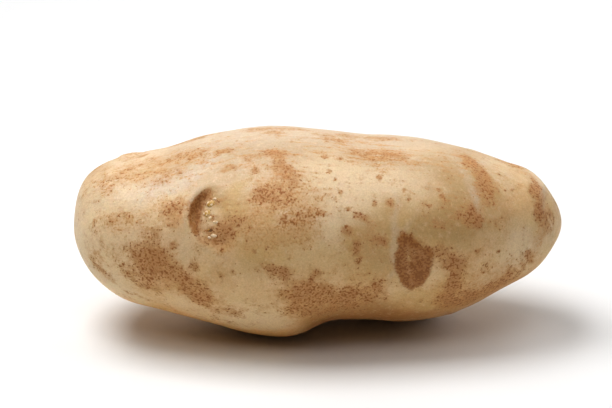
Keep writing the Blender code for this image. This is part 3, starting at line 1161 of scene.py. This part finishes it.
def all_buds():
    """The listed buds, and three at random in each eye from the seventh on."""
    rng = np.random.default_rng(RANDOM_BUD_SEED)
    buds = list(BUDS)
    for x, angle, radius, _, _, _, _ in EYES[FIRST_EYE_WITH_RANDOM_BUDS:]:
        for _ in range(RANDOM_BUDS):
            bud_x = x + rng.uniform(*ALONG_EYE) * radius
            bud_angle = angle + rng.uniform(*ROUND_EYE) * radius * DEGREES_PER_MM
            length = rng.uniform(*BUD_SIZES)
            width = length * BUD_WIDTH_SHARE
            height = length * BUD_HEIGHT_SHARE
            paleness = rng.uniform(*BUD_PALENESS)
            buds.append((bud_x, bud_angle, length, width, height, paleness))
    return buds


def bud_points(x, angle, length, width, height):
    """An egg whose middle lies just under the skin: its three half sizes lie along the
    potato, round it and outwards, it narrows a little towards its top, and its size
    wavers at random by up to a third."""
    sweep = np.array(math.acos(-x / HALF_LENGTH))
    turn = np.array(math.radians(angle))
    centre = skin_points(sweep, turn)
    out = outward(centre)
    around = np.cross(out, [1.0, 0.0, 0.0])
    around /= np.linalg.norm(around)
    along = np.cross(around, out)
    down = np.linspace(0.0, math.pi, BUD_RINGS + 1)[:, np.newaxis, np.newaxis]
    side = np.linspace(0.0, 2 * math.pi, BUD_ROUND, endpoint=False)[np.newaxis, :, np.newaxis]
    narrowing = 1 - BUD_NARROWING * np.cos(down)
    offset = (
        length * narrowing * np.sin(down) * np.cos(side) * along
        + width * narrowing * np.sin(down) * np.sin(side) * around
        + height * np.cos(down) * out
    )
    swelling = 1 + waver(centre + offset, *BUD_WAVER)
    return centre - BUD_SINK * out + offset * swelling[..., np.newaxis]


AMBER = (0.55, 0.33, 0.09, 1.0)
DEAD_BROWN = (0.22, 0.10, 0.04, 1.0)
BUD_CREAM = (0.84, 0.67, 0.48, 1.0)
BUD_MOTTLING = 0.6


def bud_material():
    """Amber at the foot, brown where a bud has died back, and cream on the young ones,
    with a fine mottle."""
    make = Nodes("potato_bud")
    paleness = make.attribute("paleness")
    mottle = make.noise(BUD_MOTTLING, 3.0)
    uneven = make.maths("MULTIPLY_ADD", mottle, 2.0, make.maths("SUBTRACT", paleness, 1.0))
    colour = make.mix(make.ramp(uneven, 0.0, 0.3), DEAD_BROWN, AMBER)
    colour = make.mix(make.ramp(uneven, 0.4, 0.9), colour, BUD_CREAM)
    make.put(make.shader, "Base Color", colour)
    make.put(make.shader, "Roughness", make.ramp(mottle, 0.3, 0.7, 0.4, 0.6))
    return make.material


def make_buds():
    """All the buds as one piece of many small closed bodies."""
    buds = all_buds()
    grids = [bud_points(*bud[:5]) for bud in buds]
    mesh = closed_grids("eye_buds", grids)
    paleness = [np.full(grid.shape[:2], bud[5]) for grid, bud in zip(grids, buds, strict=True)]
    add_attribute(mesh, "paleness", *paleness)
    thing = bpy.data.objects.new("eye_buds", mesh)
    bpy.context.scene.collection.objects.link(thing)
    mesh.materials.append(bud_material())
    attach(thing, "root")


# The floor, the lamps and the camera are in metres.
FLOOR_HALF = 1.5
FLOOR_WHITE = (0.85, 0.85, 0.85, 1.0)
FLOOR_ROUGHNESS = 0.9
FLOOR_GLOSS = 0.1


def make_floor():
    """A pale sheet far larger than the view."""
    mesh = bpy.data.meshes.new("floor")
    corners = [(-1, -1), (1, -1), (1, 1), (-1, 1)]
    points = [(x * FLOOR_HALF, y * FLOOR_HALF, 0.0) for x, y in corners]
    mesh.from_pydata(points, [], [(0, 1, 2, 3)])
    floor = bpy.data.objects.new("floor", mesh)
    bpy.context.scene.collection.objects.link(floor)
    material = bpy.data.materials.new("white_paper")
    material.use_nodes = True
    shader = material.node_tree.nodes["Principled BSDF"]
    shader.inputs["Base Color"].default_value = FLOOR_WHITE
    shader.inputs["Roughness"].default_value = FLOOR_ROUGHNESS
    shader.inputs["Specular IOR Level"].default_value = FLOOR_GLOSS
    mesh.materials.append(material)


def soft_light(name, place, aim, size, power, colour):
    """A rectangular lamp that faces a point."""
    lamp = bpy.data.lights.new(name, "AREA")
    lamp.shape = "RECTANGLE"
    lamp.size, lamp.size_y = size
    lamp.energy = power
    lamp.color = colour
    thing = bpy.data.objects.new(name, lamp)
    bpy.context.scene.collection.objects.link(thing)
    thing.location = place
    thing.rotation_mode = "QUATERNION"
    thing.rotation_quaternion = (Vector(aim) - Vector(place)).to_track_quat("-Z", "Y")


# The studio lamps: name, direction from the potato, distance, width and depth, power.
LAMPS = (
    ("overhead_left", (-0.35, 0.06, 0.93), 0.75, (0.44, 0.42), 3.3),
    ("front_fill", (-0.10, -0.50, 0.86), 0.75, (0.60, 0.35), 1.0),
    ("right_fill", (0.36, 0.11, 0.93), 0.75, (0.30, 0.36), 0.45),
    ("low_right", (0.89, 0.0, 0.44), 0.75, (0.35, 0.30), 0.4),
    ("low_behind", (-0.10, 0.93, 0.36), 0.75, (0.45, 0.30), 0.72),
    ("low_behind_right", (0.62, 0.70, 0.36), 0.75, (0.40, 0.30), 0.82),
)
LAMP_COLOUR = (1.0, 1.0, 1.0)
ROOM_COLOUR = (1.0, 1.0, 1.0, 1.0)
ROOM_LIGHT = 0.06


def make_lights():
    """Large soft lamps in a dark room: most light falls from above and a little to the
    left, so that the shadow lies under the potato and runs out to the right."""
    for name, direction, distance, size, power in LAMPS:
        place = Vector(direction).normalized() * distance
        soft_light(name, place, (0, 0, 0), size, power, LAMP_COLOUR)
    world = bpy.data.worlds.new("studio")
    bpy.context.scene.world = world
    world.use_nodes = True
    background = world.node_tree.nodes["Background"]
    background.inputs["Color"].default_value = ROOM_COLOUR
    background.inputs["Strength"].default_value = ROOM_LIGHT


CAMERA_AIM = Vector((-0.0035, 0.0027, 0.0366))
CAMERA_DISTANCE = 0.491
CAMERA_ELEVATION = math.radians(20.0)
LENS_MM = 100.0
SENSOR_MM = 36.0


def make_camera():
    """A long lens in front of the potato, looking slightly down on it."""
    lens = bpy.data.cameras.new("camera")
    lens.lens = LENS_MM
    lens.sensor_width = SENSOR_MM
    camera = bpy.data.objects.new("camera", lens)
    bpy.context.scene.collection.objects.link(camera)
    back = Vector((0.0, -math.cos(CAMERA_ELEVATION), math.sin(CAMERA_ELEVATION)))
    camera.location = CAMERA_AIM + back * CAMERA_DISTANCE
    camera.rotation_mode = "QUATERNION"
    camera.rotation_quaternion = (-back).to_track_quat("-Z", "Y")
    bpy.context.scene.camera = camera


make_skin()
make_buds()
make_floor()
make_lights()
make_camera()
bpy.context.scene.view_settings.view_transform = "Standard"
bpy.context.scene.view_settings.look = "High Contrast"
